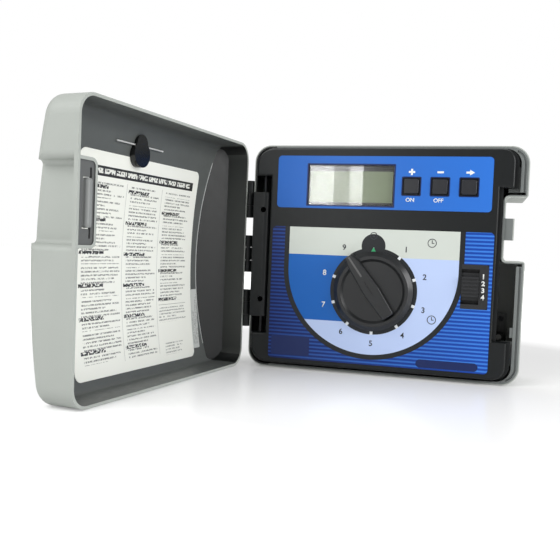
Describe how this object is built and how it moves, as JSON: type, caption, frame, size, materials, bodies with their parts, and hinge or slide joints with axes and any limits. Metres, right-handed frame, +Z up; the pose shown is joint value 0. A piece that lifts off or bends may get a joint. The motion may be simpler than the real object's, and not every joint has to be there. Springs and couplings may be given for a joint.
{
  "type": "irrigation controller",
  "caption": "Wall-mounted irrigation controller: domed hinged door, swing-out module with screen, keys, slider and big dial, wiring space behind",
  "frame": {"origin": "centre of the cabinet's flat back face, on the wall plane", "axes": "+X to the right, +Z up, front faces -Y; the back face looks along +Y"},
  "size_m": [0.3791, 0.3631, 0.242],
  "materials": {
    "housing_grey": "fine textured light grey moulding",
    "latch_grey": "satin grey",
    "bezel_black": "satin charcoal moulding",
    "cover_black": "matte",
    "knob_black": "satin",
    "pointer_white": "paint filled groove",
    "panel_blue": "printed film",
    "label_white": "printed film",
    "lens_clear": "clear window",
    "screen_grey": "liquid crystal display glass",
    "holder_white": "matte",
    "board_green": "solder mask",
    "rubber_grey": "silicone",
    "switch_black": "matte",
    "terminal_green": "matte",
    "terminal_cream": "matte",
    "shield_grey": "matte",
    "steel": "zinc plated",
    "ground_green": "green dyed head",
    "core_steel": "varnished laminations",
    "coil_yellow": "tape wrap",
    "card_paper": "laminated card",
    "label_paper": "paper label",
    "battery_black": "printed can"
  },
  "bodies": {
    "cabinet": {"cabinet_housing": "housing_grey", "hinge_strip": "bezel_black", "strip_screws": "steel", "module_pivots": "steel", "transformer_core": "core_steel", "transformer_coil": "coil_yellow", "transformer_bracket": "steel", "bracket_screws": "steel", "power_terminals": "terminal_cream", "power_screws": "steel", "ground_screw": "ground_green", "wiring_shield": "shield_grey", "shield_screws": "steel", "station_board": "board_green", "station_board_screws": "steel", "station_terminals": "terminal_green", "terminal_screws": "steel", "station_socket": "switch_black"},
    "door": {"door_shell": "housing_grey", "hinge_pins": "steel", "instruction_card": "card_paper", "wiring_label": "label_paper", "card_peg": "cover_black", "card_wire": "steel", "latch_pin": "steel"},
    "latch": {"door_latch": "latch_grey"},
    "module": {"module_frame": "bezel_black", "panel_upper": "panel_blue", "panel_lower": "panel_blue", "dial_label": "label_white", "slider_plate": "cover_black", "screen_lens": "lens_clear", "screen_glass": "screen_grey", "screen_holder": "holder_white", "main_board": "board_green", "board_screws": "steel", "key_mat": "rubber_grey", "rotary_switch": "switch_black", "slide_switch": "switch_black", "module_socket": "switch_black", "rear_cover": "cover_black", "cover_screws": "steel", "battery_cell": "battery_black", "battery_clip": "cover_black"},
    "on_key": {"key_on": "knob_black"},
    "off_key": {"key_off": "knob_black"},
    "next_key": {"key_next": "knob_black"},
    "dial": {"dial_knob": "knob_black", "dial_pointer": "pointer_white", "dial_shaft": "steel"},
    "slider": {"program_slider": "knob_black"}
  },
  "joints": [
    {"name": "door_hinge", "type": "hinge", "parent": "cabinet", "child": "door", "pos_m": [-0.1484, -0.0742, 0.0018], "axis": [0, 0, -1], "range_deg": [-98, 77]},
    {"name": "latch_pivot", "type": "hinge", "parent": "door", "child": "latch", "pos_m": [-0.1949, -0.34113, 0.0375], "axis": [0, 0, -1], "range_deg": [0, 8], "stiffness_Nm_per_rad": 0.2},
    {"name": "module_swing", "type": "hinge", "parent": "cabinet", "child": "module", "pos_m": [-0.1295, -0.078, 0.0018], "axis": [0, 0, -1], "range_deg": [0, 90]},
    {"name": "on_key_press", "type": "slide", "parent": "module", "child": "on_key", "axis": [0, 1, 0], "range_m": [0, 0.001], "stiffness_N_per_m": 800},
    {"name": "off_key_press", "type": "slide", "parent": "module", "child": "off_key", "axis": [0, 1, 0], "range_m": [0, 0.001], "stiffness_N_per_m": 800},
    {"name": "next_key_press", "type": "slide", "parent": "module", "child": "next_key", "axis": [0, 1, 0], "range_m": [0, 0.001], "stiffness_N_per_m": 800},
    {"name": "dial_turn", "type": "hinge", "parent": "module", "child": "dial", "pos_m": [-0.0062, -0.088, -0.0318], "axis": [0, -1, 0], "continuous": true},
    {"name": "program_slide", "type": "slide", "parent": "module", "child": "slider", "axis": [0, 0, 1], "range_m": [-0.0074, 0.0074]}
  ]
}
